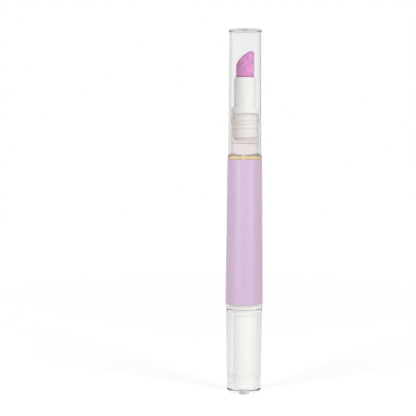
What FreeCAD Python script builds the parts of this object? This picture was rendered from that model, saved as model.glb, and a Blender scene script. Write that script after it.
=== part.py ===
"""A capped twist pen for nail oil, built as its separate moulded pieces.

Turning the knob turns the core in it. The core turns the screw rod, the nut fixed in the barrel drives the
rod upwards, and the rod pushes the piston, which feeds oil through the nozzle to the slanted pusher tip.
The pen stands on its knob: the origin is the middle of the foot, and +Z runs along the pen to the cap.
"""

import FreeCAD
import Part
import Sketcher
import math
import operator
import os
import types

# Driving dimensions: lengths in millimetres, angles in degrees, counts and shares as plain numbers
SIZES = {
    # Twist knob: a clear shell closed by a clear end plug
    "knob_height": 27.8,
    "knob_base_radius": 5.6,
    "knob_top_radius": 5.88,
    "knob_bore_radius": 4.2,
    "knob_rim_round": 0.3,
    "plug_height": 5.45,
    "plug_floor": 1.9,
    "plug_bore_radius": 4.0,
    "foot_radius": 4.8,
    "foot_round_height": 1.3,
    "foot_round_share": 1.0,
    "gate_radius": 1.2,
    "gate_depth": 1.2,
    # Drive core inside the knob
    "core_radius": 3.55,
    "core_foot_height": 0.5,
    "core_web_height": 5.6,
    "core_floor": 1.0,
    "core_bore_radius": 2.4,
    "collar_height": 1.8,
    "tab_reach": 0.65,
    "tab_width": 1.4,
    "tab_height": 1.2,
    "stem_radius": 3.1,
    "stem_height": 0.75,
    "head_radius": 2.5,
    "head_flat": 2.15,
    "snap_reach": 0.25,
    "snap_height": 0.7,
    "snap_tip_height": 0.35,
    # Click ring with two sprung arms
    "ring_height": 2.6,
    "ring_wall": 0.45,
    "arm_gap": 0.3,
    "arm_wall": 0.4,
    "arm_count": 2,
    "arm_sweep_angle": 115.0,
    "arm_root_angle": 12.0,
    "pawl_angle": 12.0,
    # Nut fixed in the foot of the barrel
    "nut_flange_reach": 0.5,
    "nut_flange_height": 1.75,
    "cup_wall": 0.6,
    "tooth_depth": 0.3,
    "tooth_count": 12,
    "tooth_slope_share": 0.8,
    "lip_height": 0.8,
    "hub_radius": 3.3,
    "hub_roof": 0.6,
    "hub_length": 7.0,
    # Drive screw
    "thread_lead": 2.5,
    "thread_root_radius": 1.3,
    "thread_crest_radius": 1.8,
    "thread_root_width": 1.2,
    "thread_crest_width": 0.7,
    "thread_sink_share": 0.2,
    "rod_end_length": 0.9,
    "rod_neck_radius": 0.85,
    "rod_neck_length": 1.2,
    "rod_head_radius": 1.2,
    "rod_head_height": 1.4,
    # Piston
    "piston_rest_gap": 6.15,
    "piston_length": 7.4,
    "piston_crown_height": 0.7,
    "piston_crown_radius": 3.2,
    "piston_waist_radius": 4.3,
    "piston_lip_height": 0.8,
    "piston_skirt_wall": 0.7,
    "piston_skirt_depth": 3.7,
    "piston_boss_drop": 2.6,
    "piston_boss_radius": 2.6,
    # Barrel
    "barrel_length": 50.4,
    "barrel_foot_radius": 6.05,
    "barrel_top_radius": 5.6,
    "barrel_bore_radius": 4.8,
    "shoulder_wall": 0.45,
    "shoulder_round": 0.35,
    "roof_rise": 0.95,
    "neck_length": 13.5,
    "neck_radius": 4.48,
    "neck_bore_radius": 3.95,
    "bead_drop": 1.3,
    "bead_height": 1.5,
    "bead_proud": 0.15,
    # Label round the barrel
    "label_foot_margin": 1.6,
    "label_top_margin": 1.6,
    "label_wall": 0.08,
    "label_seam": 0.4,
    # Nozzle plug in the neck
    "spigot_length": 8.8,
    "spigot_radius": 3.7,
    "lead_in_height": 1.1,
    "lead_in_depth": 0.9,
    "rib_count": 3,
    "rib_drop": 2.0,
    "rib_pitch": 1.25,
    "rib_height": 0.55,
    "flange_radius": 4.58,
    "flange_height": 2.0,
    "post_radius": 2.3,
    "post_length": 5.2,
    # Ferrule, feed tube and pusher tip
    "ferrule_radius": 3.6,
    "ferrule_length": 9.7,
    "ferrule_edge": 0.25,
    "tip_radius": 2.93,
    "tip_seat_depth": 4.0,
    "tip_low_height": 3.3,
    "tip_cut_angle": 43.5,
    "tip_turn_angle": -35.0,
    "tip_edge_round": 0.3,
    "tip_hole_radius": 0.45,
    "tube_radius": 0.75,
    "tube_wall": 0.25,
    "tube_in_tip": 3.0,
    # Cap
    "cap_length": 40.55,
    "cap_mouth_radius": 5.38,
    "cap_top_radius": 5.15,
    "cap_mouth_bore_radius": 4.76,
    "cap_top_bore_radius": 4.45,
    "cap_roof": 0.65,
    "cap_rim_height": 0.75,
    "cap_rim_reach": 0.24,
    "cap_rim_round": 0.4,
    "cap_bore_round": 0.3,
    "cap_lead_in": 0.2,
    # Fits
    "press_gap": 0.02,
    "slide_gap": 0.02,
    "turn_gap": 0.1,
    "thread_gap": 0.15,
    "seam_gap": 0.3,
    "knob_seam": 0.15,
    "cap_seam": 0.15,
    "cut_overrun": 1.0,
}

FULL_TURN = 360

doc = FreeCAD.newDocument("NailOilPen")
sheet = doc.addObject("Spreadsheet::Sheet", "Sizes")
for row, (alias, number) in enumerate(SIZES.items(), start=1):
    sheet.set(f"A{row}", alias)
    sheet.set(f"B{row}", str(number))
    sheet.setAlias(f"B{row}", alias)
doc.recompute()


class Size:
    """A number with the sheet formula that gives it, so that what is worked out from it stays bound."""

    def __init__(self, number, formula):
        self.number = float(number)
        self.formula = formula

    def joined(self, work, symbol, other):
        other = other if isinstance(other, Size) else Size(other, str(other))
        return Size(work(self.number, other.number), f"({self.formula} {symbol} {other.formula})")

    def __add__(self, other):
        return self.joined(operator.add, "+", other)

    def __sub__(self, other):
        return self.joined(operator.sub, "-", other)

    def __mul__(self, other):
        return self.joined(operator.mul, "*", other)

    def __truediv__(self, other):
        return self.joined(operator.truediv, "/", other)

    def __pow__(self, other):
        return self.joined(operator.pow, "^", other)

    def __neg__(self):
        return Size(-self.number, f"(-{self.formula})")


def cosine(angle):
    return Size(math.cos(math.radians(angle.number)), f"cos({angle.formula})")


def sine(angle):
    return Size(math.sin(math.radians(angle.number)), f"sin({angle.formula})")


def tangent(angle):
    return Size(math.tan(math.radians(angle.number)), f"tan({angle.formula})")


def square_root(area):
    return Size(math.sqrt(area.number), f"sqrt({area.formula})")


def whole(count):
    return Size(math.floor(count.number), f"floor({count.formula})")


def chord(across, along):
    """Length of the straight line that runs so far across and along."""
    return square_root(across**2 + along**2)


def tapered(near, far, share):
    """The size a share of the way from near to far."""
    return near + (far - near) * share


dim = types.SimpleNamespace(**{alias: Size(number, f"Sizes.{alias}") for alias, number in SIZES.items()})

# Heights of the seats above the foot of the pen
core_foot = dim.plug_floor + dim.press_gap
head_foot = dim.knob_height + dim.stem_height
lip_foot = head_foot + dim.ring_height + dim.turn_gap
lip_top = lip_foot + dim.lip_height
snap_foot = lip_top + dim.turn_gap
head_top = snap_foot + dim.snap_height + dim.snap_tip_height
chamber_top = head_top + dim.seam_gap
barrel_foot = dim.knob_height + dim.knob_seam
shoulder = barrel_foot + dim.barrel_length
roof_top = shoulder - dim.shoulder_wall
roof_foot = roof_top - dim.roof_rise
neck_top = shoulder + dim.neck_length
hub_top = chamber_top + dim.hub_length
piston_foot = hub_top + dim.piston_rest_gap
piston_top = piston_foot + dim.piston_length
boss_foot = piston_foot + dim.piston_skirt_depth - dim.piston_boss_drop
rod_foot = core_foot + dim.core_web_height + dim.seam_gap
rod_length = boss_foot - dim.turn_gap - rod_foot
spigot_foot = neck_top - dim.spigot_length
flange_top = neck_top + dim.flange_height
ferrule_top = flange_top + dim.ferrule_length
tip_foot = ferrule_top - dim.tip_seat_depth
cap_foot = shoulder + dim.cap_seam

# Radii that follow from what a piece fits
nut_radius = dim.barrel_bore_radius - dim.press_gap
nut_flange_radius = nut_radius + dim.nut_flange_reach
tooth_root = nut_radius - dim.cup_wall
tooth_tip = tooth_root - dim.tooth_depth
ring_bore = dim.head_radius + dim.press_gap
ring_radius = ring_bore + dim.ring_wall
piston_radius = dim.barrel_bore_radius - dim.slide_gap
tube_seat = dim.tube_radius + dim.press_gap
core_foot_radius = dim.plug_bore_radius - dim.press_gap
core_collar_radius = dim.knob_bore_radius - dim.press_gap


def knob_radius(height):
    """Outer radius of the knob's taper at a height above its foot."""
    share = (height - dim.foot_round_height) / (dim.knob_height - dim.foot_round_height)
    return tapered(dim.knob_base_radius, dim.knob_top_radius, share)


def barrel_radius(height):
    """Outer radius of the barrel's taper at a height above its foot."""
    share = height / (dim.barrel_length - dim.shoulder_round)
    return tapered(dim.barrel_foot_radius, dim.barrel_top_radius, share)


def origin_plane(body, role):
    """The body's own origin plane with that role."""
    return next(plane for plane in body.Origin.OriginFeatures if plane.Role == role)


def short_arc(start, end, radius, side):
    """The short arc from start to end, with its centre on the left (side 1) or right (side -1) of the way."""
    way = end - start
    left = FreeCAD.Vector(-way.y, way.x, 0).normalize()
    to_centre = math.sqrt(max(radius**2 - (way.Length / 2) ** 2, 0))
    centre = (start + end) / 2 + left * side * to_centre
    first, last = (start, end) if side > 0 else (end, start)
    angles = [math.atan2(point.y - centre.y, point.x - centre.x) for point in (first, last)]
    return Part.ArcOfCircle(Part.Circle(centre, FreeCAD.Vector(0, 0, 1), radius), *angles)


def bind(sketch, size, *constraint):
    """Adds a constraint to the sketch, bound to the size."""
    index = sketch.addConstraint(Sketcher.Constraint(*constraint, size.number))
    sketch.setExpression(f"Constraints[{index}]", size.formula)


def pin(sketch, edge, end, corner):
    """Ties an edge's end to its corner: to the axis where a coordinate is 0, and to its size elsewhere."""
    for kind, axis, size in (("DistanceX", -2, corner[0]), ("DistanceY", -1, corner[1])):
        if isinstance(size, Size):
            bind(sketch, size, kind, -1, 1, edge, end)
        else:
            sketch.addConstraint(Sketcher.Constraint("PointOnObject", edge, end, axis))


def position(size):
    return size.number if isinstance(size, Size) else size


def outline(body, name, role, *loops, level=None):
    """A sketch of closed loops on one of the body's origin planes, lifted to a level if one is given.

    A loop is a list of corners (x, y). A corner (x, y, radius, side) starts an arc to the next corner.
    """
    sketch = body.newObject("Sketcher::SketchObject", name)
    sketch.AttachmentSupport = (origin_plane(body, role), [""])
    sketch.MapMode = "FlatFace"
    if level:
        sketch.setExpression("AttachmentOffset.Base.z", level.formula)
    for corners in loops:
        places = [FreeCAD.Vector(position(corner[0]), position(corner[1]), 0) for corner in corners]
        edges = []
        for corner, start, end in zip(corners, places, places[1:] + places[:1]):
            if len(corner) == 2:
                edges.append((sketch.addGeometry(Part.LineSegment(start, end)), 1, 2))
                continue
            radius, side = corner[2:]
            arc = sketch.addGeometry(short_arc(start, end, radius.number, side))
            edges.append((arc, 1, 2) if side > 0 else (arc, 2, 1))
            bind(sketch, radius, "Radius", arc)
        for (edge, _, end), (following, start, _) in zip(edges, edges[1:] + edges[:1]):
            sketch.addConstraint(Sketcher.Constraint("Coincident", edge, end, following, start))
        for corner, (edge, start, _) in zip(corners, edges):
            pin(sketch, edge, start, corner)
    return sketch


def new_body(name, foot):
    """An empty body for one sub-part, with its own foot at that height."""
    body = doc.addObject("PartDesign::Body", name)
    body.Label = name
    if isinstance(foot, Size):
        body.setExpression("Placement.Base.z", foot.formula)
    return body


def turned(name, foot, corners):
    """A body turned about the pen's axis from corners (radius, height above its foot)."""
    body = new_body(name, foot)
    profile = outline(body, f"{name}_section", "XZ_Plane", corners)
    turn = body.newObject("PartDesign::Revolution", f"{name}_turned")
    turn.Profile = profile
    turn.ReferenceAxis = (profile, ["V_Axis"])
    turn.Angle = FULL_TURN
    doc.recompute()
    return body


def feature(body, kind, name, profile, **settings):
    """Adds a sketch-based feature to the body, with each size in its settings bound to the sheet."""
    made = body.newObject(f"PartDesign::{kind}", name)
    made.Profile = profile
    for key, setting in settings.items():
        if isinstance(setting, Size):
            made.setExpression(key, setting.formula)
        else:
            setattr(made, key, setting)
    doc.recompute()
    return made


def cut_through(body, name, profile):
    """Cuts the profile right through the body, to both sides of its plane."""
    return feature(body, "Pocket", name, profile, Type="ThroughAll", Midplane=True)


def repeat_round(body, name, original, profile, count):
    """Repeats a feature evenly round the normal of its sketch."""
    pattern = body.newObject("PartDesign::PolarPattern", name)
    pattern.Originals = [original]
    pattern.Axis = (profile, ["N_Axis"])
    pattern.Angle = FULL_TURN
    pattern.setExpression("Occurrences", count.formula)
    body.Tip = pattern
    doc.recompute()


def rectangle(left, right, low, high):
    return [(left, low), (right, low), (right, high), (left, high)]


def above_and_below(flat, reach):
    """Two rectangles that leave two flats between them when they are cut away."""
    return rectangle(-reach, reach, flat, reach), rectangle(-reach, reach, -reach, -flat)


def right_and_left(inner, outer, half_width):
    """Two rectangles on opposite sides of the axis."""
    spans = ((inner, outer), (-outer, -inner))
    return [rectangle(left, right, -half_width, half_width) for left, right in spans]


def two_flat_round(radius, flat):
    """A circle with two opposite sides cut flat."""
    half = square_root(radius**2 - flat**2)
    return [(half, -flat, radius, 1), (half, flat), (-half, flat, radius, 1), (-half, -flat)]


def full_circle(radius):
    return [(radius, 0, radius, 1), (0, radius, radius, 1), (-radius, 0, radius, 1), (0, -radius, radius, 1)]


def polar(radius, angle):
    return radius * cosine(angle), radius * sine(angle)


def end_plug():
    """Clear foot of the knob: a cup with a rounded foot, pressed on the foot of the core."""
    foot_round = chord(dim.knob_base_radius - dim.foot_radius, dim.foot_round_height) * dim.foot_round_share
    return turned("end_plug", 0, [
        (0, dim.gate_depth),
        (dim.gate_radius, dim.gate_depth),
        (dim.gate_radius, 0),
        (dim.foot_radius, 0, foot_round, 1),
        (dim.knob_base_radius, dim.foot_round_height),
        (knob_radius(dim.plug_height), dim.plug_height),
        (dim.plug_bore_radius, dim.plug_height),
        (dim.plug_bore_radius, dim.plug_floor),
        (0, dim.plug_floor),
    ])


def knob_shell():
    """Clear tapered tube of the knob, with two slots in its rim for the tabs of the core."""
    foot = dim.plug_height + dim.press_gap
    length = dim.knob_height - foot
    body = turned("knob_shell", foot, [
        (dim.knob_bore_radius, 0),
        (knob_radius(foot), 0),
        (dim.knob_top_radius, length - dim.knob_rim_round, dim.knob_rim_round, 1),
        (dim.knob_top_radius - dim.knob_rim_round, length),
        (dim.knob_bore_radius, length),
    ])
    slot_reach = dim.knob_bore_radius + dim.tab_reach + dim.press_gap
    slots = outline(
        body, "slot_outline", "XY_Plane",
        *right_and_left(dim.core_radius, slot_reach, dim.tab_width / 2 + dim.press_gap), level=length,
    )
    feature(body, "Pocket", "rim_slots", slots, Length=dim.tab_height + dim.press_gap)
    return body


def drive_core():
    """White core of the knob: a tube with a foot ring, a keyed bore, a tabbed collar and a snap head."""
    collar_top = dim.knob_height - core_foot
    collar_foot = collar_top - dim.collar_height
    shaft_top = head_foot - core_foot
    snap = snap_foot - core_foot
    top = head_top - core_foot
    web_foot = dim.core_web_height - dim.core_floor
    body = turned("drive_core", core_foot, [
        (dim.core_bore_radius, 0),
        (core_foot_radius, 0),
        (core_foot_radius, dim.core_foot_height),
        (dim.core_radius, dim.core_foot_height),
        (dim.core_radius, collar_foot),
        (core_collar_radius, collar_foot),
        (core_collar_radius, collar_top),
        (dim.stem_radius, collar_top),
        (dim.stem_radius, shaft_top),
        (dim.head_radius, shaft_top),
        (dim.head_radius, snap),
        (dim.head_radius + dim.snap_reach, snap),
        (dim.head_radius + dim.snap_reach, snap + dim.snap_height),
        (dim.head_radius, top),
        (0, top),
        (0, shaft_top),
        (dim.core_bore_radius, shaft_top - dim.core_floor),
        (dim.core_bore_radius, dim.core_web_height),
        (0, dim.core_web_height),
        (0, web_foot),
        (dim.core_bore_radius, web_foot),
    ])
    tab_end = dim.knob_bore_radius + dim.tab_reach
    tabs = outline(
        body, "tab_outline", "XY_Plane",
        *right_and_left(dim.core_radius, tab_end, dim.tab_width / 2), level=collar_top - dim.tab_height,
    )
    feature(body, "Pad", "tabs", tabs, Length=dim.tab_height)
    sides = outline(
        body, "head_flat_outline", "XY_Plane",
        *above_and_below(dim.head_flat, dim.head_radius + dim.cut_overrun), level=top,
    )
    feature(body, "Pocket", "head_flats", sides, Length=top - shaft_top)
    key = two_flat_round(dim.thread_crest_radius + dim.turn_gap, dim.thread_root_radius + dim.turn_gap)
    key_outline = outline(body, "key_outline", "XY_Plane", key, level=top)
    feature(body, "Pocket", "key_bore", key_outline, Length=top - shaft_top + dim.core_floor)
    return body


def click_ring():
    """Ring keyed on the core's head, with sprung arms whose pawls ride over the teeth of the nut."""
    body = new_body("click_ring", head_foot)
    bore = two_flat_round(ring_bore, dim.head_flat + dim.press_gap)
    ring = outline(body, "ring_outline", "XY_Plane", full_circle(ring_radius), bore)
    feature(body, "Pad", "ring", ring, Length=dim.ring_height)
    inner = ring_radius + dim.arm_gap
    outer = inner + dim.arm_wall
    root = ring_radius - dim.ring_wall / 2
    end = dim.arm_sweep_angle
    arm = outline(body, "arm_outline", "XY_Plane", [
        (root, 0),
        (outer, 0, outer, 1),
        polar(outer, end - dim.pawl_angle),
        polar(tooth_tip - dim.turn_gap, end),
        (*polar(inner, end), inner, -1),
        polar(inner, dim.arm_root_angle),
        polar(root, dim.arm_root_angle),
    ])
    first_arm = feature(body, "Pad", "arm", arm, Length=dim.ring_height)
    repeat_round(body, "arms", first_arm, arm, dim.arm_count)
    return body


def thread_section(body, name, middle, gap):
    """Section of the drive thread, its middle at that height, larger by the gap than the rod's own."""
    sunk = dim.thread_root_radius - dim.thread_root_radius * dim.thread_sink_share
    crest = dim.thread_crest_radius + gap
    root_half = dim.thread_root_width / 2 + gap
    crest_half = dim.thread_crest_width / 2 + gap
    return outline(body, name, "XZ_Plane", [
        (sunk, middle - root_half),
        (dim.thread_root_radius, middle - root_half),
        (crest, middle - crest_half),
        (crest, middle + crest_half),
        (dim.thread_root_radius, middle + root_half),
        (sunk, middle + root_half),
    ])


def drive_nut():
    """Fixed nut: a flanged cup with ratchet teeth inside, a snap lip for the core and a threaded hub."""
    lip_bore = dim.head_radius + dim.turn_gap
    chamber = dim.head_radius + dim.snap_reach + dim.turn_gap
    thread_bore = dim.thread_root_radius + dim.thread_gap
    cup_top = lip_foot - barrel_foot
    roof = chamber_top - barrel_foot
    hub_end = hub_top - barrel_foot
    body = turned("drive_nut", barrel_foot, [
        (tooth_tip, 0),
        (nut_flange_radius, 0),
        (nut_flange_radius, dim.nut_flange_height),
        (nut_radius, dim.nut_flange_height),
        (nut_radius, roof + dim.hub_roof),
        (dim.hub_radius, roof + dim.hub_roof),
        (dim.hub_radius, hub_end),
        (thread_bore, hub_end),
        (thread_bore, roof),
        (chamber, roof),
        (chamber, lip_top - barrel_foot),
        (lip_bore, lip_top - barrel_foot),
        (lip_bore, cup_top),
        (tooth_tip, cup_top),
    ])
    slope = Size(FULL_TURN, str(FULL_TURN)) / dim.tooth_count * dim.tooth_slope_share
    inside = tooth_tip - dim.tooth_depth
    gap = outline(body, "tooth_outline", "XY_Plane", [
        (inside, 0),
        (tooth_root, 0),
        polar(tooth_tip, slope),
        polar(inside, slope),
    ], level=cup_top)
    first_gap = feature(body, "Pocket", "tooth_gap", gap, Length=cup_top)
    repeat_round(body, "teeth", first_gap, gap, dim.tooth_count)
    # The groove starts whole turns above the start of the rod's thread, so that the two mesh
    rod_start = rod_foot + dim.rod_end_length - barrel_foot
    start = rod_start + dim.thread_lead * whole((roof - rod_start) / dim.thread_lead - 1)
    groove = thread_section(body, "groove_section", start, dim.thread_gap)
    feature(
        body, "SubtractiveHelix", "groove", groove, ReferenceAxis=(groove, ["V_Axis"]),
        Pitch=dim.thread_lead, Height=hub_end - start + dim.thread_lead,
    )
    return body


def screw_rod():
    """Screw rod: a coarse thread with two flats that slide in the core's key, and a snap head on top."""
    neck_end = rod_length + dim.rod_neck_length
    head_end = neck_end + dim.rod_head_height
    body = turned("screw_rod", rod_foot, [
        (0, 0),
        (dim.thread_root_radius, 0),
        (dim.thread_root_radius, rod_length),
        (dim.rod_neck_radius, rod_length),
        (dim.rod_neck_radius, neck_end),
        (dim.rod_head_radius, neck_end),
        (dim.rod_head_radius, neck_end + dim.rod_head_height / 2),
        (dim.rod_neck_radius, head_end),
        (0, head_end),
    ])
    tooth = thread_section(body, "tooth_section", dim.rod_end_length, 0)
    feature(
        body, "AdditiveHelix", "thread", tooth, ReferenceAxis=(tooth, ["V_Axis"]),
        Pitch=dim.thread_lead, Height=rod_length - dim.rod_end_length * 2,
    )
    flats = above_and_below(dim.thread_root_radius, dim.thread_crest_radius + dim.cut_overrun)
    cut_through(body, "flats", outline(body, "flat_outline", "XY_Plane", *flats))
    return body


def piston():
    """Two-lipped piston with a crown shaped like the barrel's roof, and a snap socket for the rod's head."""
    mouth = dim.rod_neck_radius + dim.turn_gap
    socket = dim.rod_head_radius + dim.turn_gap
    boss = boss_foot - piston_foot
    socket_foot = boss + dim.rod_neck_length - dim.turn_gap * 2
    socket_top = boss + dim.rod_neck_length + dim.rod_head_height
    skirt_bore = piston_radius - dim.piston_skirt_wall
    return turned("piston", piston_foot, [
        (mouth, boss),
        (dim.piston_boss_radius, boss),
        (dim.piston_boss_radius, dim.piston_skirt_depth),
        (skirt_bore, dim.piston_skirt_depth),
        (skirt_bore, 0),
        (piston_radius, 0),
        (piston_radius, dim.piston_lip_height),
        (dim.piston_waist_radius, dim.piston_lip_height * 2),
        (dim.piston_waist_radius, dim.piston_length - dim.piston_lip_height * 2),
        (piston_radius, dim.piston_length - dim.piston_lip_height),
        (piston_radius, dim.piston_length),
        (dim.piston_crown_radius, dim.piston_length + dim.piston_crown_height),
        (0, dim.piston_length + dim.piston_crown_height),
        (0, socket_top),
        (socket, socket_top),
        (socket, socket_foot),
        (mouth, socket_foot),
    ])


def barrel():
    """Clear barrel: a tapered tube with a straight bore, and a neck with a snap bead for the cap."""
    counterbore = nut_flange_radius + dim.press_gap
    counterbore_top = dim.nut_flange_height + dim.press_gap
    neck_end = dim.barrel_length + dim.neck_length
    bead_top = neck_end - dim.bead_drop
    bead_curve = ((dim.bead_height / 2) ** 2 + dim.bead_proud**2) / (dim.bead_proud * 2)
    return turned("barrel", barrel_foot, [
        (counterbore, 0),
        (dim.barrel_foot_radius, 0),
        (dim.barrel_top_radius, dim.barrel_length - dim.shoulder_round, dim.shoulder_round, 1),
        (dim.barrel_top_radius - dim.shoulder_round, dim.barrel_length),
        (dim.neck_radius, dim.barrel_length),
        (dim.neck_radius, bead_top - dim.bead_height, bead_curve, 1),
        (dim.neck_radius, bead_top),
        (dim.neck_radius, neck_end),
        (dim.neck_bore_radius, neck_end),
        (dim.neck_bore_radius, roof_top - barrel_foot),
        (dim.barrel_bore_radius, roof_foot - barrel_foot),
        (dim.barrel_bore_radius, counterbore_top),
        (counterbore, counterbore_top),
    ])


def label():
    """Film label wrapped round the barrel, with its seam at the back."""
    length = dim.barrel_length - dim.label_foot_margin - dim.label_top_margin
    foot_radius = barrel_radius(dim.label_foot_margin) + dim.press_gap
    top_radius = barrel_radius(dim.label_foot_margin + length) + dim.press_gap
    body = turned("label", barrel_foot + dim.label_foot_margin, [
        (foot_radius, 0),
        (foot_radius + dim.label_wall, 0),
        (top_radius + dim.label_wall, length),
        (top_radius, length),
    ])
    half_seam = dim.label_seam / 2
    far = dim.barrel_foot_radius + dim.cut_overrun
    seam = rectangle(-half_seam, half_seam, dim.barrel_bore_radius, far)
    cut_through(body, "seam", outline(body, "seam_outline", "XY_Plane", seam))
    return body


def oil_fill():
    """The oil between the piston and the mouth of the neck, with its top level with the shoulder."""
    roof = roof_foot - piston_top - dim.slide_gap
    neck = dim.neck_bore_radius - dim.slide_gap
    return turned("oil_fill", piston_top + dim.slide_gap, [
        (0, dim.piston_crown_height),
        (dim.piston_crown_radius, dim.piston_crown_height),
        (piston_radius, 0),
        (piston_radius, roof - dim.slide_gap),
        (neck, roof + dim.roof_rise - dim.slide_gap),
        (neck, roof + dim.roof_rise + dim.shoulder_wall),
        (0, roof + dim.roof_rise + dim.shoulder_wall),
    ])


def nozzle_plug():
    """White plug in the neck: a ribbed spigot with a lead-in, a flange and a post for the ferrule."""
    rib_radius = dim.neck_bore_radius - dim.press_gap
    post_top = dim.spigot_length + dim.flange_height + dim.post_length
    ribs = []
    for number in reversed(range(int(dim.rib_count.number))):
        rib_top = dim.spigot_length - dim.rib_drop - dim.rib_pitch * number
        ribs += [
            (dim.spigot_radius, rib_top - dim.rib_height),
            (rib_radius, rib_top - dim.rib_height / 2),
            (rib_radius, rib_top),
            (dim.spigot_radius, rib_top),
        ]
    return turned("nozzle_plug", spigot_foot, [
        (tube_seat, 0),
        (dim.spigot_radius - dim.lead_in_depth, 0),
        (dim.spigot_radius, dim.lead_in_height),
        *ribs,
        (dim.spigot_radius, dim.spigot_length),
        (dim.flange_radius, dim.spigot_length),
        (dim.flange_radius, dim.spigot_length + dim.flange_height),
        (dim.post_radius, dim.spigot_length + dim.flange_height),
        (dim.post_radius, post_top),
        (tube_seat, post_top),
    ])


def ferrule():
    """White sleeve pressed on the nozzle's post, with a wider seat for the pusher tip."""
    post_bore = dim.post_radius + dim.press_gap
    tip_bore = dim.tip_radius + dim.press_gap
    ledge = dim.ferrule_length - dim.tip_seat_depth
    return turned("ferrule", flange_top, [
        (post_bore, 0),
        (dim.ferrule_radius, 0),
        (dim.ferrule_radius, dim.ferrule_length - dim.ferrule_edge, dim.ferrule_edge, 1),
        (dim.ferrule_radius - dim.ferrule_edge, dim.ferrule_length),
        (tip_bore, dim.ferrule_length),
        (tip_bore, ledge),
        (post_bore, ledge),
    ])


def feed_tube():
    """Thin tube that feeds oil through the nozzle into the tip."""
    bore = dim.tube_radius - dim.tube_wall
    length = tip_foot + dim.tube_in_tip - spigot_foot
    return turned("feed_tube", spigot_foot, rectangle(bore, dim.tube_radius, 0, length))


def pusher_tip():
    """Soft pusher: a cylinder cut to a slanted face with a rounded edge, and an oil channel inside."""
    low = dim.tip_seat_depth + dim.tip_low_height
    slope = tangent(dim.tip_cut_angle)
    high = low + dim.tip_radius * slope * 2
    blank_top = high + dim.cut_overrun
    tube_end = dim.tube_in_tip + dim.press_gap
    body = turned("pusher_tip", tip_foot, [
        (tube_seat, 0),
        (dim.tip_radius, 0),
        (dim.tip_radius, blank_top),
        (dim.tip_hole_radius, blank_top),
        (dim.tip_hole_radius, tube_end),
        (tube_seat, tube_end),
    ])
    over = dim.tip_radius + dim.cut_overrun
    cut_low = low - dim.cut_overrun * slope
    cut_high = high + dim.cut_overrun * slope
    cut_top = cut_high + dim.cut_overrun
    slant = outline(body, "slant_outline", "XZ_Plane", [
        (-over, cut_low), (over, cut_high), (over, cut_top), (-over, cut_top),
    ])
    cut = cut_through(body, "slanted_cut", slant)
    boxes = [edge.BoundBox for edge in cut.Shape.Edges]
    rim = max(range(len(boxes)), key=lambda index: boxes[index].XLength * boxes[index].ZLength)
    rounding = body.newObject("PartDesign::Fillet", "slant_edge")
    rounding.Base = (cut, [f"Edge{rim + 1}"])
    rounding.setExpression("Radius", dim.tip_edge_round.formula)
    body.setExpression("Placement.Rotation.Angle", dim.tip_turn_angle.formula)
    doc.recompute()
    return body


def cap():
    """Clear cap: a tapered tube with a closed end and a small rim round it."""
    rim_foot = dim.cap_length - dim.cap_rim_height
    rim_radius = dim.cap_top_radius + dim.cap_rim_reach
    ceiling = dim.cap_length - dim.cap_roof
    return turned("cap", cap_foot, [
        (dim.cap_mouth_bore_radius + dim.cap_lead_in, 0),
        (dim.cap_mouth_radius, 0),
        (dim.cap_top_radius, rim_foot),
        (rim_radius, rim_foot),
        (rim_radius, dim.cap_length - dim.cap_rim_round, dim.cap_rim_round, 1),
        (rim_radius - dim.cap_rim_round, dim.cap_length),
        (0, dim.cap_length),
        (0, ceiling),
        (dim.cap_top_bore_radius - dim.cap_bore_round, ceiling, dim.cap_bore_round, -1),
        (dim.cap_top_bore_radius, ceiling - dim.cap_bore_round),
        (dim.cap_mouth_bore_radius, dim.cap_lead_in),
    ])


PIECES = [
    end_plug, knob_shell, drive_core, click_ring, drive_nut, screw_rod, piston, barrel, label, oil_fill,
    nozzle_plug, ferrule, feed_tube, pusher_tip, cap,
]


def check(bodies):
    """Stops the build if an object failed or a piece is not one valid solid."""
    failed = [item.Name for item in doc.Objects if {"Invalid", "Error"} & set(item.State)]
    if failed:
        raise RuntimeError(f"these objects failed: {failed}")
    for body in bodies:
        shape = body.Shape
        if shape.isNull() or not shape.isValid() or len(shape.Solids) != 1:
            raise RuntimeError(f"{body.Label} is not one valid solid")


def main():
    bodies = [piece() for piece in PIECES]
    doc.recompute()
    check(bodies)
    os.makedirs("parts", exist_ok=True)
    for body in bodies:
        body.Shape.exportStep(f"parts/{body.Label}.step")
        print(f"{body.Label}: {body.Shape.Volume:.1f} mm3, {len(body.Shape.Faces)} faces")


main()
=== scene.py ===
"""Looks of a nail oil pen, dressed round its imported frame.

All lengths are in metres, in the frame of the solids.
"""
import math

import bmesh
import bpy
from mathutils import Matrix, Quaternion, Vector


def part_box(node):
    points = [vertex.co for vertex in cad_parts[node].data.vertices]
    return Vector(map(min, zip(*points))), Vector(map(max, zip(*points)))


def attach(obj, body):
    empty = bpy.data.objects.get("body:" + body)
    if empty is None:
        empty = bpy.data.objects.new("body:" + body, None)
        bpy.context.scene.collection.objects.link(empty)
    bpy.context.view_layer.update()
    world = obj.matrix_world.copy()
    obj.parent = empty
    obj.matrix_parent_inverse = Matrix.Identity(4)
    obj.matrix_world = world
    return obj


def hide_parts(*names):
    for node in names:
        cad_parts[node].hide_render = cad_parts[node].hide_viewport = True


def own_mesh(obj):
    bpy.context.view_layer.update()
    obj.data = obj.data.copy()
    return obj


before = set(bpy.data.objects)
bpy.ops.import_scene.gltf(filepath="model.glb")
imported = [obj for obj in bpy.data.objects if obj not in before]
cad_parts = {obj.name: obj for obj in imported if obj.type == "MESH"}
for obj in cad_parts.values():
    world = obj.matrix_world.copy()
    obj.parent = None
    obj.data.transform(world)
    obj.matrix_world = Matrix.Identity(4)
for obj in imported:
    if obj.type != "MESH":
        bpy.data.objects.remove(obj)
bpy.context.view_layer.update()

MM = 0.001

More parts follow.
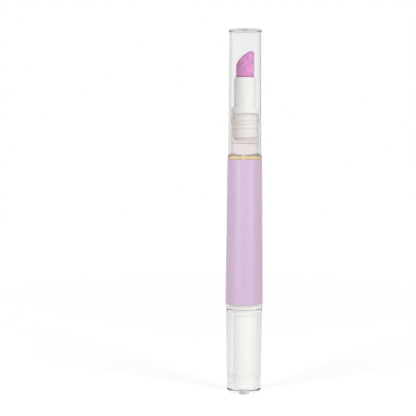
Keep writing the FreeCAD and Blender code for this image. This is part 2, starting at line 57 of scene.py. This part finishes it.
# Camera, from the photograph's frame
PHOTO_PIXELS = 416
PIXELS_PER_METRE = 3050
SENSOR_WIDTH = 0.036
CAMERA_DISTANCE = 0.405
CAMERA_HEIGHT = 0.08265
AIM_HEIGHT = 0.06085
PEN_OFFSET = 0.0120
CAMERA_ROLL = 0.17
CLIP_START = 0.01

# Floor: its glow grows with the distance, as the light of the lamps falls off
FLOOR_SIZE = 1.6
FLOOR_COLOUR = (0.9, 0.9, 0.9)
FLOOR_ROUGHNESS = 0.9
FLOOR_GLOW = 0.39
FLOOR_FAR_GLOW = 0.62
FLOOR_NEAR = 0.06
FLOOR_FAR = 0.7
FLOOR_MIRROR_GLOW = 0.22

# World: the grey room, what gloss mirrors of it, and the depth below which a ray has had no bounce
ROOM_LEVEL = 0.45
MIRROR_LEVEL = 0.78
NO_BOUNCE = 0.5

# Softboxes: azimuths in degrees, to the right of the camera's side
SOFTBOX_WIDTH = 0.50
SOFTBOX_HEIGHT = 0.90
SOFTBOX_DISTANCE = 0.55
SOFTBOX_CENTRE_HEIGHT = 0.20
SIDE_AZIMUTH = 43
SIDE_WIDTH = 0.24
SIDE_LEVEL = 2.75
INNER_AZIMUTH = 42
INNER_LEVEL = 2.45
SLEEVE_AZIMUTH = 27
SLEEVE_LEVEL = 2.1
FILL_AZIMUTH = -65
FILL_LEVEL = 1.5
BACK_AZIMUTH = 180
BACK_LEVEL = 3.5
CLEAR_NODES = ("cap", "barrel", "knob_shell", "end_plug")
DRIVE_NODES = ("drive_core", "click_ring", "drive_nut")
SLEEVE_NODES = ("ferrule", "nozzle_plug")

# Optics of the clear pieces
PLASTIC_IOR = 1.49
OIL_IOR = 1.46
NECK_OIL_IOR = 1.08
CLEAR_SPECULAR = 0.12

# Colours. A pair is the darkest and the lightest of a grain.
CAP_CLEAR = (0.94, 0.94, 0.94)
BARREL_CLEAR = (1, 0.965, 0.955)
KNOB_CLEAR = (0.95, 0.95, 0.952)
OIL_GOLD = (0.98, 0.80, 0.52)
OIL_PALE = (1, 0.97, 0.96)
INNER_WHITE = ((0.90, 0.882, 0.855), (0.93, 0.915, 0.89))
DRIVE_WHITE = ((0.82, 0.815, 0.80), (0.85, 0.845, 0.835))
GATE_FROST = ((0.93, 0.93, 0.93), (0.97, 0.97, 0.97))
PINK = ((0.57, 0.17, 0.43), (0.87, 0.345, 0.75))
# Painted shade: the dark pink laid along the pusher's slanted cut and as a painted contact shadow at its
# seat
PINK_PAINTED_SHADE = (0.28, 0.07, 0.20)
LAVENDER = ((0.655, 0.485, 0.675), (0.69, 0.515, 0.71))
GLUED_SIDE = (0.93, 0.92, 0.93)

# Grain: the part of the noise that is spread over a range
NOISE_LOW = 0.3
NOISE_HIGH = 0.7
SATIN_RANGE = 0.06

# Oil: it wets the walls, so its skin lies a little inside them
WETTING = 0.05 * MM
BORE_RADIUS = 4.80 * MM
NECK_BORE_RADIUS = 3.95 * MM
ROOF_RISE = 0.95 * MM
SHOULDER_WALL = 0.45 * MM
FLANGE_HEIGHT = 2.0 * MM
BUBBLE_HEIGHT = 3.9 * MM
MENISCUS = 0.5 * MM

# Gate mark in the foot
GATE_RADIUS = 1.18 * MM
GATE_DEPTH = 1.18 * MM
GATE_EDGE = 0.1 * MM

# Steps and edges of turned pieces
TURN_STEPS = 96
ROUND_STEPS = 8
SHARP_ANGLE = math.radians(35)

# The tip's slanted cut, which way it faces, and how far out it lies that way: the painted shade on the
# pusher follows this plane
CUT_ANGLE = math.radians(43.5)
CUT_TURN = math.radians(-35)
CUT_LOW_HEIGHT = 106.85 * MM
TIP_RADIUS = 2.93 * MM
CUT_NORMAL = (
    -math.sin(CUT_ANGLE) * math.cos(CUT_TURN), -math.sin(CUT_ANGLE) * math.sin(CUT_TURN), math.cos(CUT_ANGLE)
)
CUT_LEVEL = math.sin(CUT_ANGLE) * TIP_RADIUS + math.cos(CUT_ANGLE) * CUT_LOW_HEIGHT
# Painted shade under the cut and painted shadow at the seat: full up to the start depth, faded out by the
# end depth
CUT_PAINTED_SHADE_START = 0.12 * MM
SEAT_PAINTED_SHADOW_START = 0.05 * MM
PAINTED_SHADE_END = 0.55 * MM
DOWN = (0, 0, -1)


def add(tree, kind, **inputs):
    """Adds a node and sets its inputs by name."""
    node = tree.nodes.new(f"ShaderNode{kind}")
    for name, value in inputs.items():
        node.inputs[name.replace("_", " ")].default_value = value
    return node


def maths(tree, operation, first, second):
    """Works on two numbers, each an output of a node or a plain value."""
    node = add(tree, "Math")
    node.operation = operation
    for socket, value in zip(node.inputs, (first, second)):
        if isinstance(value, bpy.types.NodeSocket):
            tree.links.new(value, socket)
        else:
            socket.default_value = value
    return node.outputs["Value"]


def seen_rays(tree):
    """Two masks: what the camera sees, straight or through clear plastic, and what it sees mirrored."""
    path = add(tree, "LightPath")
    unlit = maths(tree, "LESS_THAN", path.outputs["Diffuse Depth"], NO_BOUNCE)
    bent = maths(tree, "MULTIPLY", path.outputs["Is Transmission Ray"], unlit)
    straight = maths(tree, "LESS_THAN", path.outputs["Glossy Depth"], NO_BOUNCE)
    through = maths(tree, "MULTIPLY", bent, straight)
    mirrored = maths(tree, "SUBTRACT", unlit, straight)
    return (
        maths(tree, "MAXIMUM", path.outputs["Is Camera Ray"], through),
        maths(tree, "MAXIMUM", mirrored, 0),
    )


def new_material(name):
    """A material with nodes, its tree and its shader."""
    material = bpy.data.materials.new(name)
    material.use_nodes = True
    tree = material.node_tree
    return material, tree, tree.nodes["Principled BSDF"]


def grain(tree, scale, detail=3, stretch=(1, 1, 1)):
    """Noise fixed to the piece, with scale grains per metre."""
    place = add(tree, "TexCoord")
    mapping = add(tree, "Mapping", Scale=stretch)
    noise = add(tree, "TexNoise", Scale=scale, Detail=detail)
    tree.links.new(place.outputs["Object"], mapping.inputs["Vector"])
    tree.links.new(mapping.outputs["Vector"], noise.inputs["Vector"])
    return noise.outputs["Fac"]


def spread(tree, factor, low, high):
    """Maps noise to a range of numbers."""
    node = add(tree, "MapRange", From_Min=NOISE_LOW, From_Max=NOISE_HIGH, To_Min=low, To_Max=high)
    tree.links.new(factor, node.inputs["Value"])
    return node.outputs["Result"]


def tint(tree, factor, low, high):
    """Maps noise to a range of colours."""
    ramp = add(tree, "ValToRGB")
    for element, position, colour in zip(ramp.color_ramp.elements, (NOISE_LOW, NOISE_HIGH), (low, high)):
        element.position = position
        element.color = (*colour, 1)
    tree.links.new(factor, ramp.inputs["Fac"])
    return ramp.outputs["Color"]


def roughen(tree, shader, height, depth, strength):
    """Gives a shader a bump of this depth."""
    bump = add(tree, "Bump", Strength=strength, Distance=depth)
    tree.links.new(height, bump.inputs["Height"])
    tree.links.new(bump.outputs["Normal"], shader.inputs["Normal"])


def let_light_through(tree, shader):
    """Clear pieces pass the light of the lamps and the room on to what is inside them."""
    path = add(tree, "LightPath")
    clear = add(tree, "BsdfTransparent")
    surface = shader.outputs["BSDF"]
    for ray in ("Is Shadow Ray", "Is Diffuse Ray"):
        mix = add(tree, "MixShader")
        tree.links.new(path.outputs[ray], mix.inputs["Fac"])
        tree.links.new(surface, mix.inputs[1])
        tree.links.new(clear.outputs["BSDF"], mix.inputs[2])
        surface = mix.outputs["Shader"]
    tree.links.new(surface, tree.nodes["Material Output"].inputs["Surface"])


def clear_material(name, colour, ior):
    """A clear material, its tree and its shader."""
    material, tree, shader = new_material(name)
    shader.inputs["Base Color"].default_value = (*colour, 1)
    shader.inputs["Transmission Weight"].default_value = 1
    shader.inputs["IOR"].default_value = ior
    shader.inputs["Specular IOR Level"].default_value = CLEAR_SPECULAR
    let_light_through(tree, shader)
    return material, tree, shader


def clear_plastic(name, colour, flow_scale):
    """Polished clear moulding with faint flow marks along it."""
    material, tree, shader = clear_material(name, colour, PLASTIC_IOR)
    flow = grain(tree, flow_scale, stretch=(1, 1, 0.12))
    tree.links.new(spread(tree, flow, low=0.01, high=0.04), shader.inputs["Roughness"])
    roughen(tree, shader, flow, depth=0.004 * MM, strength=0.05)
    return material


def golden_oil(name, colour, ior):
    """Clear oil with a warm cast."""
    material, tree, shader = clear_material(name, colour, ior)
    swirl = grain(tree, scale=500)
    tree.links.new(spread(tree, swirl, low=0, high=0.02), shader.inputs["Roughness"])
    return material


def white_plastic(name, colours, roughness):
    """Opaque white moulding with a fine satin skin."""
    material, tree, shader = new_material(name)
    cloud = grain(tree, scale=260)
    tree.links.new(tint(tree, cloud, *colours), shader.inputs["Base Color"])
    skin = grain(tree, scale=9000)
    satin = spread(tree, skin, roughness - SATIN_RANGE, roughness + SATIN_RANGE)
    tree.links.new(satin, shader.inputs["Roughness"])
    roughen(tree, shader, skin, depth=0.01 * MM, strength=0.5)
    return material


def depth_below(tree, place, normal, level, start, end):
    """How far a place lies under a plane: 0 up to the start and 1 from the end on."""
    across = add(tree, "VectorMath")
    across.operation = "DOT_PRODUCT"
    across.inputs[1].default_value = normal
    tree.links.new(place, across.inputs[0])
    depth = maths(tree, "SUBTRACT", level, across.outputs["Value"])
    node = add(tree, "MapRange", From_Min=start, From_Max=end)
    tree.links.new(depth, node.inputs["Value"])
    return node.outputs["Result"]


def grainy_pink():
    """The pusher: a fine hard grain, bound in pink, with painted shade along the slanted cut and a painted
    contact shadow at its seat in the ferrule.
    """
    material, tree, shader = new_material("pusher_pink")
    speck = grain(tree, scale=1150, detail=4)
    place = add(tree, "TexCoord").outputs["Object"]
    seat_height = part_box("ferrule")[1].z
    # Painted shade along the slanted cut, where the cut face lies in shade, and a painted contact shadow at
    # the seat on the ferrule
    cut = depth_below(tree, place, CUT_NORMAL, CUT_LEVEL, CUT_PAINTED_SHADE_START, PAINTED_SHADE_END)
    seat = depth_below(tree, place, DOWN, -seat_height, SEAT_PAINTED_SHADOW_START, PAINTED_SHADE_END)
    pink = add(tree, "Mix")
    pink.data_type = "RGBA"
    pink.inputs["A"].default_value = (*PINK_PAINTED_SHADE, 1)
    tree.links.new(maths(tree, "MULTIPLY", cut, seat), pink.inputs["Factor"])
    tree.links.new(tint(tree, speck, *PINK), pink.inputs["B"])
    tree.links.new(pink.outputs["Result"], shader.inputs["Base Color"])
    tree.links.new(spread(tree, speck, low=0.55, high=0.8), shader.inputs["Roughness"])
    roughen(tree, shader, speck, depth=0.08 * MM, strength=0.8)
    return material


def satin_film():
    """Lavender label film with a satin grain along the pen, and white on its glued side."""
    material, tree, shader = new_material("label_lavender")
    fibre = grain(tree, scale=2600, stretch=(1, 1, 0.08))
    outward = add(tree, "VectorMath")
    outward.operation = "DOT_PRODUCT"
    tree.links.new(add(tree, "NewGeometry").outputs["Normal"], outward.inputs[0])
    tree.links.new(add(tree, "TexCoord").outputs["Object"], outward.inputs[1])
    film = add(tree, "Mix")
    film.data_type = "RGBA"
    film.inputs["B"].default_value = (*GLUED_SIDE, 1)
    tree.links.new(maths(tree, "LESS_THAN", outward.outputs["Value"], 0), film.inputs["Factor"])
    tree.links.new(tint(tree, fibre, *LAVENDER), film.inputs["A"])
    tree.links.new(film.outputs["Result"], shader.inputs["Base Color"])
    tree.links.new(spread(tree, fibre, low=0.26, high=0.34), shader.inputs["Roughness"])
    roughen(tree, shader, fibre, depth=0.006 * MM, strength=0.5)
    return material


def dress(material, *nodes):
    """Gives CAD nodes their material."""
    for name in nodes:
        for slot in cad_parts[name].material_slots:
            slot.material = material


def dress_pen():
    """Gives every CAD node but the oil its material. The oil's own piece replaces its node."""
    dress(clear_plastic("cap_clear", CAP_CLEAR, flow_scale=400), "cap")
    dress(clear_plastic("barrel_clear", BARREL_CLEAR, flow_scale=500), "barrel")
    dress(clear_plastic("knob_clear", KNOB_CLEAR, flow_scale=450), "knob_shell", "end_plug")
    dress(white_plastic("inner_white", INNER_WHITE, roughness=0.42),
          "ferrule", "nozzle_plug", "drive_core", "click_ring")
    dress(white_plastic("drive_white", DRIVE_WHITE, roughness=0.5),
          "drive_nut", "screw_rod", "piston", "feed_tube")
    dress(grainy_pink(), "pusher_tip")
    dress(satin_film(), "label")


def turn(shape, profile):
    """Turns (radius, height) points round the pen's axis. The skin faces right of the way the points run."""
    angles = [2 * math.pi * step / TURN_STEPS for step in range(TURN_STEPS)]
    rings = []
    for radius, height in profile:
        if radius == 0:
            rings.append([shape.verts.new((0, 0, height))])
            continue
        rings.append([shape.verts.new((radius * math.cos(a), radius * math.sin(a), height)) for a in angles])
    for lower, upper in zip(rings, rings[1:]):
        for step in range(TURN_STEPS):
            after = (step + 1) % TURN_STEPS
            corners = [lower[step % len(lower)], lower[after % len(lower)],
                       upper[after % len(upper)], upper[step % len(upper)]]
            shape.faces.new(dict.fromkeys(corners))


def placed(name, shape, material):
    """Puts a shape into the scene as an object of this material."""
    mesh = bpy.data.meshes.new(name)
    shape.to_mesh(mesh)
    shape.free()
    mesh.materials.append(material)
    result = bpy.data.objects.new(name, mesh)
    bpy.context.scene.collection.objects.link(result)
    return result


def piece(name, profile, material, body):
    """A turned piece that rides on a body."""
    shape = bmesh.new()
    turn(shape, profile)
    result = placed(name, shape, material)
    result.data.shade_smooth()
    result.data.set_sharp_from_angle(angle=SHARP_ANGLE)
    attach(result, body)
    return result


def chamber_oil():
    """The oil in the barrel. It shortens as the piston comes up."""
    foot, top = (corner.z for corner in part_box("oil_fill"))
    roof_top = top - SHOULDER_WALL
    wall = BORE_RADIUS + WETTING
    neck = NECK_BORE_RADIUS + WETTING
    oil = piece("chamber_oil", [
        (0, foot), (wall, foot), (wall, roof_top - ROOF_RISE + WETTING), (neck, roof_top + WETTING),
        (neck, top), (0, top),
    ], golden_oil("oil_gold", OIL_GOLD, OIL_IOR), "barrel")
    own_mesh(oil)
    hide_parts("oil_fill")
    return oil


def neck_oil():
    """Oil round the nozzle's spigot, down to an air bubble in the neck.

    It clings to the wall a little lower.
    """
    wall = NECK_BORE_RADIUS + WETTING
    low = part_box("oil_fill")[1].z + BUBBLE_HEIGHT
    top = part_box("ferrule")[0].z - FLANGE_HEIGHT - WETTING
    corner = [math.pi / 2 * step / ROUND_STEPS for step in range(ROUND_STEPS + 1)]
    curve = [(wall - MENISCUS + MENISCUS * math.sin(angle), low - MENISCUS + MENISCUS * math.cos(angle))
             for angle in corner]
    return piece("neck_oil", [(0, low), *curve, (wall, top), (0, top)],
                 golden_oil("oil_pale", OIL_PALE, NECK_OIL_IOR), "barrel")


def gate_mark():
    """Frosted mark that the moulding gate leaves in the middle of the foot."""
    return piece("gate_mark", [
        (0, GATE_EDGE), (GATE_RADIUS, GATE_EDGE), (GATE_RADIUS, GATE_DEPTH), (0, GATE_DEPTH)
    ], white_plastic("gate_frost", GATE_FROST, roughness=0.9), "knob")


def studio_floor():
    """Pale floor that reads as white, also far off, and keeps the pen's soft shadow."""
    material, tree, shader = new_material("floor_white")
    shader.inputs["Base Color"].default_value = (*FLOOR_COLOUR, 1)
    shader.inputs["Roughness"].default_value = FLOOR_ROUGHNESS
    shader.inputs["Specular IOR Level"].default_value = 0
    shader.inputs["Emission Color"].default_value = (1, 1, 1, 1)
    away = add(tree, "VectorMath")
    away.operation = "LENGTH"
    tree.links.new(add(tree, "TexCoord").outputs["Object"], away.inputs[0])
    rise = add(tree, "MapRange", From_Min=FLOOR_NEAR, From_Max=FLOOR_FAR,
               To_Min=FLOOR_GLOW, To_Max=FLOOR_FAR_GLOW)
    tree.links.new(away.outputs["Value"], rise.inputs["Value"])
    seen, mirrored = seen_rays(tree)
    glow = maths(tree, "ADD", maths(tree, "MULTIPLY", seen, rise.outputs["Result"]),
                 maths(tree, "MULTIPLY", mirrored, FLOOR_MIRROR_GLOW))
    tree.links.new(glow, shader.inputs["Emission Strength"])
    shape = bmesh.new()
    bmesh.ops.create_grid(shape, x_segments=1, y_segments=1, size=FLOOR_SIZE / 2)
    floor = placed("floor", shape, material)


def studio_world():
    """White behind the pen, also through clear plastic, and a grey room for the rest."""
    world = bpy.data.worlds.new("studio")
    bpy.context.scene.world = world
    world.use_nodes = True
    tree = world.node_tree
    seen, mirrored = seen_rays(tree)
    mirror = maths(tree, "MULTIPLY", mirrored, MIRROR_LEVEL - ROOM_LEVEL)
    white = maths(tree, "MULTIPLY", seen, 1 - ROOM_LEVEL)
    level = maths(tree, "ADD", maths(tree, "ADD", mirror, white), ROOM_LEVEL)
    background = tree.nodes["Background"]
    background.inputs["Color"].default_value = (1, 1, 1, 1)
    tree.links.new(level, background.inputs["Strength"])


def softbox(name, azimuth, level, pieces, state="INCLUDE", width=SOFTBOX_WIDTH):
    """A tall softbox at this azimuth from the camera's side, turned to the pen.

    It lights only the pieces given, or all but them.
    """
    lamp = bpy.data.lights.new(name, "AREA")
    lamp.shape = "RECTANGLE"
    lamp.size = width
    lamp.size_y = SOFTBOX_HEIGHT
    lamp.energy = level * math.pi * width * SOFTBOX_HEIGHT
    box = bpy.data.objects.new(name, lamp)
    angle = math.radians(azimuth)
    box.location = (
        SOFTBOX_DISTANCE * math.sin(angle), -SOFTBOX_DISTANCE * math.cos(angle), SOFTBOX_CENTRE_HEIGHT
    )
    target = Vector((0, 0, AIM_HEIGHT))
    box.rotation_euler = (target - box.location).to_track_quat("-Z", "Y").to_euler()
    bpy.context.scene.collection.objects.link(box)
    group = bpy.data.collections.new(f"{name}_pieces")
    box.light_linking.receiver_collection = group
    for lit in pieces:
        group.objects.link(lit)
    for member in group.collection_objects:
        member.light_linking.link_state = state


def studio_lamps(oils, gate):
    """Softboxes for the film and the floor, and others for what is seen through the clear pieces."""
    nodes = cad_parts
    sleeve = [nodes[name] for name in SLEEVE_NODES]
    drive = [nodes[name] for name in DRIVE_NODES]
    inner = [nodes["pusher_tip"], *drive, gate]
    clear = [nodes[name] for name in CLEAR_NODES] + oils
    left_out = inner + sleeve + clear
    for side, sign in (("right", 1), ("left", -1)):
        softbox(f"softbox_{side}", sign * SIDE_AZIMUTH, SIDE_LEVEL, left_out, "EXCLUDE", SIDE_WIDTH)
    softbox("inner_key", INNER_AZIMUTH, INNER_LEVEL, inner)
    softbox("sleeve_key", SLEEVE_AZIMUTH, SLEEVE_LEVEL, sleeve)
    softbox("inner_fill", FILL_AZIMUTH, FILL_LEVEL, drive)
    softbox("back_fill", BACK_AZIMUTH, BACK_LEVEL, inner + sleeve + [nodes["label"]], width=SIDE_WIDTH)


def photo_camera():
    """The photograph's view: the pen right of the middle, seen from slightly above."""
    data = bpy.data.cameras.new("photo_camera")
    data.sensor_width = SENSOR_WIDTH / MM
    data.lens = data.sensor_width * PIXELS_PER_METRE * CAMERA_DISTANCE / PHOTO_PIXELS
    data.clip_start = CLIP_START
    camera = bpy.data.objects.new("photo_camera", data)
    camera.location = (-PEN_OFFSET, -CAMERA_DISTANCE, CAMERA_HEIGHT)
    target = Vector((-PEN_OFFSET, 0, AIM_HEIGHT))
    aim = (target - camera.location).to_track_quat("-Z", "Y")
    camera.rotation_euler = (aim @ Quaternion((0, 0, 1), math.radians(CAMERA_ROLL))).to_euler()
    bpy.context.scene.collection.objects.link(camera)
    bpy.context.scene.camera = camera


bpy.context.scene.view_settings.view_transform = "Standard"
photo_camera()
studio_floor()
studio_world()
dress_pen()
studio_lamps([chamber_oil(), neck_oil()], gate_mark())
